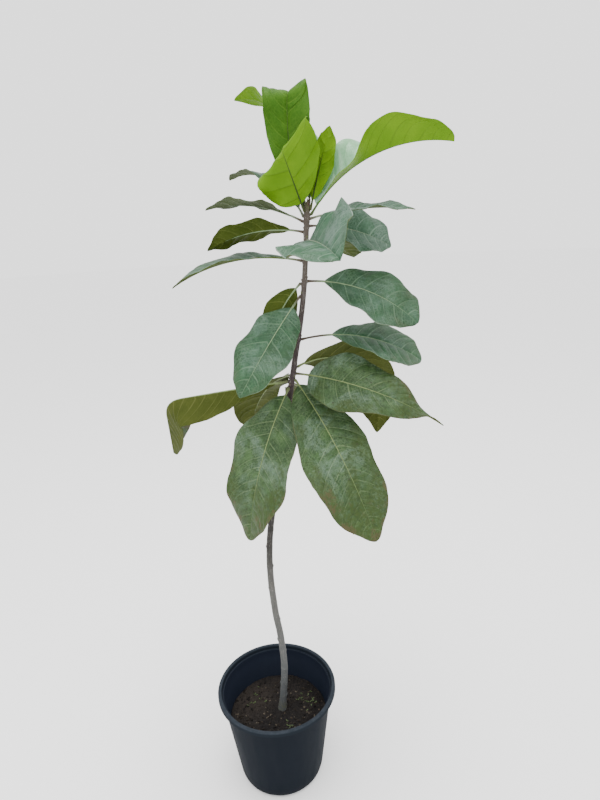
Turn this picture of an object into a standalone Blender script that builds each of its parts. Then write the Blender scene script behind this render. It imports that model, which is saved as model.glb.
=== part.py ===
"""Young fruit tree with broad leaves, growing in a round nursery pot.

Units are metres, +Z is up, and the origin is the middle of the pot's flat underside.
The plant is a pot, the soil in it, one leaning stem and its leaves. Each leaf is one
closed blade with its stalk, worked out from named sizes by one rule.
"""
import math
from typing import NamedTuple

import bpy
import bmesh
from mathutils import Matrix, Vector

for old in list(bpy.data.objects):
    bpy.data.objects.remove(old, do_unlink=True)

MM = 0.001
GAP = 0.3 * MM              # clearance between pieces that touch

# Pot: a tapered nursery pot with a rolled lip and a rounded foot
POT_HEIGHT = 170 * MM
POT_RIM_RADIUS = 99.5 * MM
POT_LIP_HEIGHT = 8 * MM
POT_LIP_DEPTH = 6 * MM      # how far the lip reaches inwards from the rim radius
POT_SHOULDER_RADIUS = 92.3 * MM
POT_FOOT_RADIUS = 66 * MM
POT_FOOT_BULGE_RADIUS = 72.5 * MM
POT_FOOT_BULGE_HEIGHT = 14 * MM
POT_WALL = 2.4 * MM
POT_FLOOR = 3 * MM
POT_SEGMENTS = 40

# Soil: fills the pot to well under the rim, level where the stem stands
SOIL_TOP = 117 * MM
SOIL_EDGE_DROP = 5 * MM
SOIL_LEVEL_RADIUS = 20 * MM

# Stem: leans left to right as it climbs, thinner towards the tip
STEM_PATH_MM = (            # height above the pot's underside, x, y
    (117, 7, 2),
    (200, 15, 2),
    (262, 13, 2),
    (315, 7, 2),
    (385, 3.5, 2),
    (442, 6, 2),
    (497, 14, 1),
    (560, 27, 0),
    (724, 59, 0),
    (822, 77, 0),
    (944, 88, 0),
)
STEM_FOOT_RADIUS = 5.8 * MM
STEM_TIP_RADIUS = 3.4 * MM
STEM_FLARE = 2.2 * MM       # extra radius where the stem meets the soil
STEM_FLARE_HEIGHT = 11 * MM
STEM_BUD_HEIGHT = 8 * MM    # the closed bud that ends the stem
STEM_SIDES = 12
STEM_RINGS = 44

# Leaf skin: five points across each face, so the fold at the midrib shows
LEAF_THICKNESS = 0.0115     # of the leaf's whole length
LEAF_STATIONS = 14
STALK_STATIONS = 3
STALK_RADIUS = 1.9 * MM
TIP_HALF_WIDTH = 1.2 * MM
ACROSS = (1.0, 0.52, 0.0, -0.52, -1.0)
MIDRIB_POINTS = 160
CURL = 0.10                 # how far the margins fall back from the fold
MARGIN_WAVES = 2.6
HALF_OFFSET = 1.9           # the two halves wave out of step


class Leaf(NamedTuple):
    """Sizes in millimetres, angles in degrees, places as shares of a length."""
    name: str
    height: float           # where the stalk leaves the stem
    bearing: float          # direction seen from above, anticlockwise from +X
    rise: float             # slope of the stalk where it starts
    droop: float            # how far that slope falls by the tip
    length: float           # of the blade
    width: float
    stalk: float = 16
    bend: float = 1.0       # above 1 the droop comes late, below 1 early
    sweep: float = 0        # how far the bearing turns by the tip
    roll: float = 0         # turn of the blade about its midrib
    twist: float = 0        # more roll, gained along the blade
    twist_at: float = 0.5
    twist_span: float = 0.3
    nod: float = 0          # curl about the blade's own width, gained along it
    nod_at: float = 0.6
    nod_span: float = 0.3
    skew: float = 0         # slant of the lines that the blade bends about
    slant: float = 0        # slides one half of the outline towards the tip, the other back
    fold: float = 14        # lift of each half from the midrib
    peak: float = 0.55      # where the blade is widest
    base: float = 0.9       # below 1 is a fuller base
    end: float = 0.72       # below 1 is a blunter tip
    wave: float = 0.05      # margin wave, as a share of the width
    phase: float = 0.0
    young: bool = False


LEAVES = (
    # The lowest whorl hangs round the stem
    Leaf("leaf_01", 694, -121, -35, 48, 216, 106, stalk=12, bend=0.6, sweep=-28, roll=-12, fold=10,
         peak=0.52, end=0.62, phase=0.6),
    Leaf("leaf_02", 698, 74, -20, 40, 205, 88, stalk=14, phase=2.0),
    Leaf("leaf_03", 702, 172, -8, 2, 268, 96, roll=160, nod=-76, nod_at=0.63, nod_span=0.2, fold=45,
         peak=0.68, end=0.5, wave=0.02),
    Leaf("leaf_04", 706, -50, -38, 28, 240, 102, stalk=10, bend=0.8, sweep=4, roll=20, fold=10,
         peak=0.54, base=0.75, end=0.58, phase=1.4),
    Leaf("leaf_05", 710, 120, -15, 50, 190, 84, stalk=14, phase=3.3),
    Leaf("leaf_06", 714, -30, 0, 36, 200, 90, stalk=20, sweep=26, roll=40, twist=-70, twist_at=0.88,
         fold=8, peak=0.28, base=0.8, end=1.3, phase=4.0),
    Leaf("leaf_07", 722, 30, 19, 124, 236, 86, stalk=12, sweep=12, roll=-50, fold=12, peak=0.5,
         base=0.6, phase=0.9),
    # Single leaves up the middle of the stem
    Leaf("leaf_08", 762, -2, 12, 50, 134, 78, stalk=42, roll=26, fold=8, peak=0.62, end=0.5,
         wave=0.02),
    Leaf("leaf_09", 822, -141, -42, 10, 142, 84, stalk=20, roll=-20, fold=8, peak=0.48, base=0.6,
         end=0.75, phase=2.6),
    Leaf("leaf_10", 838, 168, -44, 30, 80, 46, stalk=8, roll=75),
    Leaf("leaf_11", 841, -6, 0, 46, 142, 80, stalk=22, roll=46, fold=8, peak=0.60, end=0.55,
         phase=5.0),
    Leaf("leaf_12", 868, 178, 14, 46, 165, 54, stalk=20, roll=-6, fold=16, wave=0.02),
    # The close whorl under the tip
    Leaf("leaf_13", 886, 58, 5, 30, 130, 66, stalk=14, phase=1.0),
    Leaf("leaf_14", 894, -76, 2, 20, 124, 114, stalk=12, roll=34, fold=32, peak=0.5, base=0.7,
         wave=0.03),
    Leaf("leaf_15", 905, 182, 13, 42, 115, 48, roll=35, phase=2.2),
    Leaf("leaf_16", 912, 12, 0, 32, 104, 70, roll=50, phase=0.4),
    Leaf("leaf_17", 918, 172, 30, 42, 118, 50, roll=10, phase=3.0),
    Leaf("leaf_18", 921, -15, 14, 24, 122, 48, stalk=14, roll=10, phase=1.7),
    Leaf("leaf_19", 924, 138, 60, 76, 146, 56, stalk=12, phase=4.4),
    # The young leaves that stand round the tip
    Leaf("leaf_20", 929, 110, 68, 76, 212, 66, stalk=14, bend=2.6, sweep=58, roll=25, young=True),
    Leaf("leaf_21", 926, -6, 57, 68, 194, 78, stalk=14, roll=40, twist=-64, twist_at=0.42,
         twist_span=0.25, fold=45, end=0.6, phase=2.0, young=True),
    Leaf("leaf_22", 931, -130, 62, 0, 106, 94, stalk=10, roll=20, nod=-155, nod_at=0.68,
         nod_span=0.22, skew=-34, slant=20, fold=4, peak=0.54, base=1.1, end=0.5, wave=0.02,
         phase=1.1, young=True),
    Leaf("leaf_23", 933, -38, 72, 4, 90, 34, stalk=10, roll=-80, young=True),
    Leaf("leaf_24", 934, 60, 84, 10, 84, 38, stalk=12, phase=0.8, young=True),
    Leaf("leaf_25", 935, 155, 72, -30, 158, 64, stalk=12, roll=-66, nod=140, nod_at=0.84,
         nod_span=0.16, skew=18, fold=26, peak=0.66, base=0.9, end=0.5, phase=2.4, young=True),
)


def material(name, colour, roughness):
    """A plain Principled material in one colour."""
    made = bpy.data.materials.new(name)
    made.use_nodes = True
    shader = made.node_tree.nodes["Principled BSDF"]
    shader.inputs["Base Color"].default_value = (*colour, 1.0)
    shader.inputs["Roughness"].default_value = roughness
    shader.inputs["Metallic"].default_value = 0.0
    made.diffuse_color = (*colour, 1.0)
    return made


POT_MATERIAL = material("pot_plastic", (0.022, 0.030, 0.042), 0.48)
SOIL_MATERIAL = material("soil", (0.045, 0.032, 0.022), 0.95)
BARK_MATERIAL = material("bark", (0.115, 0.090, 0.075), 0.85)
LEAF_MATERIAL = material("leaf", (0.055, 0.130, 0.060), 0.50)
YOUNG_MATERIAL = material("young_leaf", (0.210, 0.360, 0.040), 0.42)


def mesh_object(name, bm, surface, sharp_degrees=40):
    """Turns a finished bmesh into a smooth-shaded object with outward faces."""
    bmesh.ops.recalc_face_normals(bm, faces=bm.faces)
    mesh = bpy.data.meshes.new(name)
    bm.to_mesh(mesh)
    bm.free()
    mesh.shade_smooth()
    mesh.set_sharp_from_angle(angle=math.radians(sharp_degrees))
    mesh.materials.append(surface)
    made = bpy.data.objects.new(name, mesh)
    bpy.context.collection.objects.link(made)
    return made


def turned(name, profile, surface):
    """Spins a closed profile of (radius, height) pairs about the Z axis."""
    bm = bmesh.new()
    verts = [bm.verts.new((radius, 0, height)) for radius, height in profile]
    edges = [bm.edges.new(pair) for pair in zip(verts, verts[1:])]
    bmesh.ops.spin(bm, geom=verts + edges, cent=(0, 0, 0), axis=(0, 0, 1), angle=2 * math.pi,
                   steps=POT_SEGMENTS, use_merge=True)
    bmesh.ops.remove_doubles(bm, verts=bm.verts, dist=0.01 * MM)
    return mesh_object(name, bm, surface, sharp_degrees=50)


def skinned(rings, tip=None):
    """Joins rings of equal count into one closed tube, with a point at the tip if given."""
    bm = bmesh.new()
    rows = [[bm.verts.new(point) for point in ring] for ring in rings]
    count = len(rows[0])
    for lower, upper in zip(rows, rows[1:]):
        for i in range(count):
            j = (i + 1) % count
            bm.faces.new((lower[i], lower[j], upper[j], upper[i]))
    bm.faces.new(list(reversed(rows[0])))
    if tip is None:
        bm.faces.new(rows[-1])
    else:
        point = bm.verts.new(tip)
        for i in range(count):
            bm.faces.new((rows[-1][i], rows[-1][(i + 1) % count], point))
    return bm


# Pot and soil

def wall_radius(height):
    """Outer radius of the pot's wall between its foot and its shoulder."""
    top = POT_HEIGHT - POT_LIP_HEIGHT
    share = (height - POT_FOOT_BULGE_HEIGHT) / (top - POT_FOOT_BULGE_HEIGHT)
    return POT_FOOT_BULGE_RADIUS + (POT_SHOULDER_RADIUS - POT_FOOT_BULGE_RADIUS) * share


def pot():
    shoulder = POT_HEIGHT - POT_LIP_HEIGHT
    lip_inner = POT_RIM_RADIUS - POT_LIP_DEPTH
    bulge = POT_FOOT_BULGE_RADIUS
    profile = (
        (0, 0),
        (POT_FOOT_RADIUS - 3 * MM, 0),
        (POT_FOOT_RADIUS, 0.8 * MM),
        (POT_FOOT_RADIUS + 4 * MM, 5 * MM),
        (bulge, POT_FOOT_BULGE_HEIGHT),
        (wall_radius(0.5 * POT_HEIGHT), 0.5 * POT_HEIGHT),
        (POT_SHOULDER_RADIUS, shoulder),
        (POT_RIM_RADIUS - 1.6 * MM, shoulder + 0.6 * MM),
        (POT_RIM_RADIUS, shoulder + 2.6 * MM),
        (POT_RIM_RADIUS, POT_HEIGHT - 2.2 * MM),
        (POT_RIM_RADIUS - 1.8 * MM, POT_HEIGHT),
        (lip_inner + 1.2 * MM, POT_HEIGHT),
        (lip_inner, POT_HEIGHT - 1.5 * MM),
        (lip_inner - 0.8 * MM, shoulder + 2.5 * MM),
        (POT_SHOULDER_RADIUS - POT_WALL, shoulder - 0.5 * MM),
        (wall_radius(POT_FOOT_BULGE_HEIGHT) - POT_WALL, POT_FOOT_BULGE_HEIGHT),
        (POT_FOOT_RADIUS, POT_FLOOR),
        (0, POT_FLOOR),
    )
    return turned("pot", profile, POT_MATERIAL)


def soil():
    foot = POT_FOOT_BULGE_HEIGHT
    edge = SOIL_TOP - SOIL_EDGE_DROP
    profile = (
        (0, POT_FLOOR + GAP),
        (POT_FOOT_RADIUS - 1 * MM, POT_FLOOR + GAP),
        (wall_radius(foot) - POT_WALL - 2 * GAP, foot + 1 * MM),
        (wall_radius(edge) - POT_WALL - 2 * GAP, edge),
        (0.62 * POT_SHOULDER_RADIUS, SOIL_TOP - 1.5 * MM),
        (SOIL_LEVEL_RADIUS, SOIL_TOP),
        (0, SOIL_TOP),
    )
    return turned("soil", profile, SOIL_MATERIAL)


# Stem

def stem_point(height):
    """Centre of the stem at a height, on a smooth curve through the path's points."""
    path = [(z * MM, x * MM, y * MM) for z, x, y in STEM_PATH_MM]
    height = min(max(height, path[0][0]), path[-1][0])
    k = next(i for i in range(len(path) - 1) if height <= path[i + 1][0] + 1e-9)
    before = path[max(k - 1, 0)]
    start = path[k]
    end = path[k + 1]
    after = path[min(k + 2, len(path) - 1)]
    span = end[0] - start[0]
    u = (height - start[0]) / span
    place = []
    for axis in (1, 2):
        slope_in = (end[axis] - before[axis]) / (end[0] - before[0]) * span
        slope_out = (after[axis] - start[axis]) / (after[0] - start[0]) * span
        place.append((2 * u ** 3 - 3 * u ** 2 + 1) * start[axis] + (u ** 3 - 2 * u ** 2 + u) * slope_in
                     + (3 * u ** 2 - 2 * u ** 3) * end[axis] + (u ** 3 - u ** 2) * slope_out)
    return Vector((place[0], place[1], height))


STEM_FOOT = STEM_PATH_MM[0][0] * MM
STEM_TOP = STEM_PATH_MM[-1][0] * MM


def stem_radius(height):
    """Even taper from foot to tip, with a flare at the soil."""
    share = (height - STEM_FOOT) / (STEM_TOP - STEM_FOOT)
    taper = STEM_FOOT_RADIUS + (STEM_TIP_RADIUS - STEM_FOOT_RADIUS) * share
    return taper + STEM_FLARE * math.exp(-(height - STEM_FOOT) / STEM_FLARE_HEIGHT)


def stem():
    rings = []
    for i in range(STEM_RINGS):
        share = (i / (STEM_RINGS - 1)) ** 1.25      # closer rings in the flare
        height = STEM_FOOT + (STEM_TOP - STEM_BUD_HEIGHT - STEM_FOOT) * share
        centre = stem_point(height)
        centre.z += GAP
        radius = stem_radius(height)
        turns = [2 * math.pi * k / STEM_SIDES for k in range(STEM_SIDES)]
        rings.append([centre + Vector((radius * math.cos(a), radius * math.sin(a), 0)) for a in turns])
    tip = stem_point(STEM_TOP)
    bud = [tip + (point - centre) * 0.6 - Vector((0, 0, 0.25 * STEM_BUD_HEIGHT)) for point in rings[-1]]
    rings.append(bud)
    return mesh_object("trunk", skinned(rings, tip), BARK_MATERIAL)


# Leaves

def smooth_step(value):
    value = min(max(value, 0.0), 1.0)
    return value * value * (3 - 2 * value)


def half_width_share(s, leaf):
    """Half width of the blade at the share s of its length, 1 at the widest place."""
    total = leaf.base + leaf.end
    power = math.log(leaf.base / total) / math.log(leaf.peak)
    q = min(max(s, 0.0), 1.0) ** power
    highest = (leaf.base / total) ** leaf.base * (leaf.end / total) ** leaf.end
    return q ** leaf.base * (1 - q) ** leaf.end / highest


def gained(share, middle, span):
    """Share of a bend or twist that is reached by a share of the blade's length."""
    return smooth_step((share - middle) / span + 0.5)


def leaf_frames(leaf):
    """Midrib points from stem to tip, each with its across, up and forward directions."""
    start_bearing = math.radians(leaf.bearing)
    outward = Vector((math.cos(start_bearing), math.sin(start_bearing), 0))
    rise = math.radians(leaf.rise)
    skew = math.radians(leaf.skew)
    height = leaf.height * MM
    reach = stem_radius(height) + 2 * GAP + STALK_RADIUS * abs(math.sin(rise))
    place = stem_point(height) + outward * reach
    total = leaf.stalk + leaf.length
    frames = []
    for i in range(MIDRIB_POINTS + 1):
        run = total * i / MIDRIB_POINTS
        s = (run - leaf.stalk) / leaf.length        # below 0 on the stalk
        bent = (run / total) ** leaf.bend
        slope = rise - math.radians(leaf.droop) * bent
        bearing = start_bearing + math.radians(leaf.sweep) * bent
        along = Vector((math.cos(slope) * math.cos(bearing), math.cos(slope) * math.sin(bearing),
                        math.sin(slope)))
        side = Vector((-math.sin(bearing), math.cos(bearing), 0))
        face = along.cross(side)
        turn = math.radians(leaf.roll * smooth_step(run / leaf.stalk)
                            + leaf.twist * gained(s, leaf.twist_at, leaf.twist_span))
        across = side * math.cos(turn) + face * math.sin(turn)
        up = face * math.cos(turn) - side * math.sin(turn)
        nod = math.radians(leaf.nod * gained(s, leaf.nod_at, leaf.nod_span))
        bent_over = Matrix.Rotation(nod, 3, across * math.cos(skew) - along * math.sin(skew))
        frames.append((place.copy(), bent_over @ across, bent_over @ up, bent_over @ along))
        place += bent_over @ along * total * MM / MIDRIB_POINTS
    return frames


def blade_point(leaf, frames, s, v, stand):
    """Point of the blade at a share s of its length and v across, stand off its middle."""
    total = (leaf.stalk + leaf.length) * MM
    width = leaf.width * MM
    half = max(half_width_share(s, leaf) * width / 2, TIP_HALF_WIDTH)
    out = v * half / total * MIDRIB_POINTS          # in steps between midrib points, as is run
    run = (leaf.stalk + leaf.length * s) * MM / total * MIDRIB_POINTS
    run += out * math.tan(math.radians(leaf.slant))
    k = min(max(round(run + out * math.tan(math.radians(leaf.skew))), 0), MIDRIB_POINTS)
    place, across, up, forward = frames[k]
    fold = math.radians(leaf.fold)
    reach = abs(v)
    fade = min(1.0, 6 * s * (1.02 - s))
    ripple = math.sin(2 * math.pi * MARGIN_WAVES * s + leaf.phase + (HALF_OFFSET if v < 0 else 0))
    lift = half * (reach * math.sin(fold) - CURL * reach ** 2)
    lift += leaf.wave * width * reach ** 2 * ripple * fade + stand
    ahead = (run - k) / MIDRIB_POINTS * total
    return place + across * (v * half * math.cos(fold)) + up * lift + forward * ahead


def leaf_rings(leaf):
    frames = leaf_frames(leaf)
    stalk_share = leaf.stalk / (leaf.stalk + leaf.length)
    half_thick = 0.5 * LEAF_THICKNESS * (leaf.stalk + leaf.length) * MM
    angles = [math.radians(18 + 36 * k) for k in range(2 * len(ACROSS))]
    rings = []
    for i in range(STALK_STATIONS):
        place, across, up, _ = frames[round(stalk_share * i / STALK_STATIONS * MIDRIB_POINTS)]
        rings.append([place + STALK_RADIUS * (across * math.cos(a) + up * math.sin(a)) for a in angles])
    for i in range(LEAF_STATIONS):
        s = i / (LEAF_STATIONS - 1)
        ring = {1: [], -1: []}
        for face_sign in (1, -1):
            for v in ACROSS:
                stand = face_sign * half_thick * (1.0 if abs(v) < 1 else 0.9)
                ring[face_sign].append(blade_point(leaf, frames, s, v, stand))
        rings.append(ring[1] + ring[-1][::-1])
    return rings


def blade(leaf):
    surface = YOUNG_MATERIAL if leaf.young else LEAF_MATERIAL
    return mesh_object(leaf.name, skinned(leaf_rings(leaf)), surface, sharp_degrees=70)


pot()
soil()
stem()
for each in LEAVES:
    blade(each)
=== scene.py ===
"""A young fruit tree with broad leaves in a round nursery pot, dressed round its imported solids.

Lengths are in metres, angles in degrees, and +Z is up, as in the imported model.
"""
import math
import random
from typing import NamedTuple

import bmesh
import bpy
from mathutils import Matrix, Vector, noise


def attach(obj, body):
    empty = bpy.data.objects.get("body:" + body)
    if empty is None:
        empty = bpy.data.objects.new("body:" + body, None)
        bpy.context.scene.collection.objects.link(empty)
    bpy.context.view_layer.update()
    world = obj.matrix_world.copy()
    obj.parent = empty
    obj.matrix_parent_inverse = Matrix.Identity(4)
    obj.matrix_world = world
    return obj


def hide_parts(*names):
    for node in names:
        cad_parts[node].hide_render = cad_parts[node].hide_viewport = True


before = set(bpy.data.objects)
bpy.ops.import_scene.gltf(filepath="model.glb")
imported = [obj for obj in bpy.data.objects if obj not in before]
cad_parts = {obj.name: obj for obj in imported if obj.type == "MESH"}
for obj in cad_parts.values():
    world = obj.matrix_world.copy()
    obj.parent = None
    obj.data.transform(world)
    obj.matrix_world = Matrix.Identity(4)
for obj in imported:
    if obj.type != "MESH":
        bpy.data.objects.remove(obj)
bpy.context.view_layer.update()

# Nursery pot: injection-moulded plastic, tapered so that pots stack, with a flange round its
# mouth that turns down into a skirt, a stacking ledge inside and drain slots in its floor.
MM = 0.001
POT_HEIGHT = 170 * MM
RIM_RADIUS = 99.5 * MM
LIP_HEIGHT = 8 * MM
LIP_DEPTH = 6 * MM
SHOULDER_RADIUS = 92.3 * MM
FOOT_RADIUS = 66 * MM
BULGE_RADIUS = 72.5 * MM
BULGE_HEIGHT = 14 * MM
WALL = 2.4 * MM
POT_FLOOR = 3 * MM
POT_STEPS = 144
DRAIN_SLOTS = 8
TOUCH = 0.01 * MM            # points nearer than this are one
OUTSIDE_TONES = ((0.0024, 0.0044, 0.0080), (0.0038, 0.0064, 0.0106))
INSIDE_TONES = ((0.0082, 0.0110, 0.0190), (0.0110, 0.0145, 0.0240))
POT_DUST = (0.026, 0.032, 0.040)
# paler tone that paints a highlight on the lip
LIP_HIGHLIGHT_TONE = (0.0110, 0.0150, 0.0200)
LIP_SCUFF = (0.034, 0.041, 0.051)
SOIL_SPLASH = (0.045, 0.036, 0.028)


class Finish:
    """One node-based finish. Its methods add nodes and return the sockets to use next."""

    def __init__(self, name, roughness, specular=0.5):
        self.material = bpy.data.materials.new(name)
        self.material.use_nodes = True
        self.nodes = self.material.node_tree.nodes
        self.links = self.material.node_tree.links
        self.shader = self.nodes["Principled BSDF"]
        self.shader.inputs["Roughness"].default_value = roughness
        self.shader.inputs["Specular IOR Level"].default_value = specular
        self.place = self.node("TexCoord").outputs["Object"]

    def feed(self, socket, value):
        if isinstance(value, bpy.types.NodeSocket):
            self.links.new(value, socket)
        elif socket.type == "RGBA":
            socket.default_value = (*value, 1.0)
        else:
            socket.default_value = value

    def node(self, kind, **inputs):
        """Adds a node and feeds its inputs. An underscore stands for a space in an input's name."""
        node = self.nodes.new("ShaderNode" + kind)
        for name, value in inputs.items():
            self.feed(node.inputs[name.replace("_", " ")], value)
        return node

    def stretched(self, scale):
        """Object place with each axis scaled, for streaks along one axis."""
        return self.node("Mapping", Vector=self.place, Scale=scale).outputs["Vector"]

    def cloud(self, scale, detail, rough=0.55, place=None, distortion=0.0):
        return self.node("TexNoise", Vector=place or self.place, Scale=scale, Detail=detail,
                         Roughness=rough, Distortion=distortion).outputs["Fac"]

    def cells(self, scale, feature="F1", place=None):
        node = self.node("TexVoronoi", Vector=place or self.place, Scale=scale)
        node.feature = feature
        return node.outputs["Distance"]

    def attribute(self, name):
        node = self.node("Attribute")
        node.attribute_name = name
        return node.outputs["Fac"]

    def distance(self, place):
        """Distance from a place, in metres."""
        node = self.node("VectorMath")
        node.operation = "DISTANCE"
        self.feed(node.inputs[0], self.place)
        self.feed(node.inputs[1], place)
        return node.outputs["Value"]

    def height(self):
        """Height above the pot's underside, in metres."""
        return self.node("SeparateXYZ", Vector=self.place).outputs["Z"]

    def math(self, operation, first, second=0.0):
        node = self.node("Math")
        node.operation = operation
        self.feed(node.inputs[0], first)
        self.feed(node.inputs[1], second)
        return node.outputs["Value"]

    def times(self, first, second):
        return self.math("MULTIPLY", first, second)

    def plus(self, first, second):
        return self.math("ADD", first, second)

    def step(self, value, low, high, start=0.0, end=1.0):
        """Smooth step of a value, from start at low to end at high."""
        node = self.node("MapRange", Value=value, From_Min=low, From_Max=high, To_Min=start,
                         To_Max=end)
        node.interpolation_type = "SMOOTHSTEP"
        return node.outputs["Result"]

    def blend(self, share, first, second):
        """Colour that goes from first to second as share goes from 0 to 1."""
        node = self.node("Mix")
        node.data_type = "RGBA"
        self.feed(node.inputs["Factor"], share)
        self.feed(node.inputs[6], first)
        self.feed(node.inputs[7], second)
        return node.outputs[2]

    def bump(self, relief, distance, strength, normal=None):
        node = self.node("Bump", Height=relief, Distance=distance, Strength=strength)
        if normal:
            self.feed(node.inputs["Normal"], normal)
        return node.outputs["Normal"]

    def finish(self, colour, roughness=None, normal=None):
        self.feed(self.shader.inputs["Base Color"], colour)
        if roughness:
            self.feed(self.shader.inputs["Roughness"], roughness)
        if normal:
            self.feed(self.shader.inputs["Normal"], normal)
        return self.material


def placed(name, data):
    """Puts an object with this mesh, lamp or camera into the scene, at the origin."""
    thing = bpy.data.objects.new(name, data)
    bpy.context.scene.collection.objects.link(thing)
    return thing


def made(name, bm, materials, nodes=(), *, sharp):
    """Turns a finished bmesh into a piece of the plant that rides on its one body."""
    mesh = bpy.data.meshes.new(name)
    bm.to_mesh(mesh)
    bm.free()
    mesh.shade_smooth()
    mesh.set_sharp_from_angle(angle=math.radians(sharp))
    for surface in materials:
        mesh.materials.append(surface)
    piece = placed(name, mesh)
    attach(piece, "root")
    if nodes:
        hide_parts(*nodes)


def spun(profile, steps):
    """Spins a closed profile of (radius, height) points into a solid about the Z axis."""
    bm = bmesh.new()
    verts = [bm.verts.new((radius, 0, height)) for radius, height in profile]
    edges = [bm.edges.new(pair) for pair in zip(verts, verts[1:])]
    bmesh.ops.spin(bm, geom=verts + edges, cent=(0, 0, 0), axis=(0, 0, 1), angle=2 * math.pi,
                   steps=steps, use_merge=True)
    bmesh.ops.remove_doubles(bm, verts=bm.verts, dist=TOUCH)
    bmesh.ops.recalc_face_normals(bm, faces=bm.faces)
    return bm


def wall_radius(height):
    """Outside radius of the pot's wall between its foot and its shoulder."""
    share = (height - BULGE_HEIGHT) / (POT_HEIGHT - LIP_HEIGHT - BULGE_HEIGHT)
    return BULGE_RADIUS + (SHOULDER_RADIUS - BULGE_RADIUS) * share


def pot_plastic(name, tones):
    """Dark blue-grey plastic, dull with handling, with a film of dust and a scuffed rim edge;
    its lip is painted paler all round as a highlight.
    """
    paint = Finish(name, roughness=0.62, specular=0.05)
    height = paint.height()
    shoulder = POT_HEIGHT - LIP_HEIGHT
    base = paint.blend(paint.cloud(9, 3), *tones)
    streaks = paint.cloud(1, 4, place=paint.stretched((70, 70, 9)))
    base = paint.blend(paint.step(streaks, 0.48, 0.78, 0.0, 0.06), base, POT_DUST)
    # Painted highlight: everything above the shoulder is blended towards a paler tone for the light
    # on the lip
    lip_highlight = paint.step(height, shoulder - 1 * MM, shoulder + 1 * MM, 0.0, 0.55)
    base = paint.blend(lip_highlight, base, LIP_HIGHLIGHT_TONE)
    lip_wear = paint.step(height, POT_HEIGHT - 3 * MM, POT_HEIGHT - 0.5 * MM, 0.0, 0.75)
    grains = paint.step(paint.cloud(120, 5, 0.7), 0.30, 0.70, 0.45, 1.0)
    base = paint.blend(paint.times(lip_wear, grains), base, LIP_SCUFF)
    splash = paint.step(height, 0.0, 30 * MM, 0.50, 0.0)
    specks = paint.step(paint.cells(330), 0.10, 0.30, 1.0, 0.0)
    base = paint.blend(paint.times(splash, specks), base, SOIL_SPLASH)
    roughness = paint.step(streaks, 0.35, 0.75, 0.60, 0.68)
    skin = paint.bump(paint.cloud(900, 3), 0.05 * MM, 0.5)
    return paint.finish(base, roughness, paint.bump(paint.cloud(16, 2), 1.2 * MM, 0.35, skin))


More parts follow.
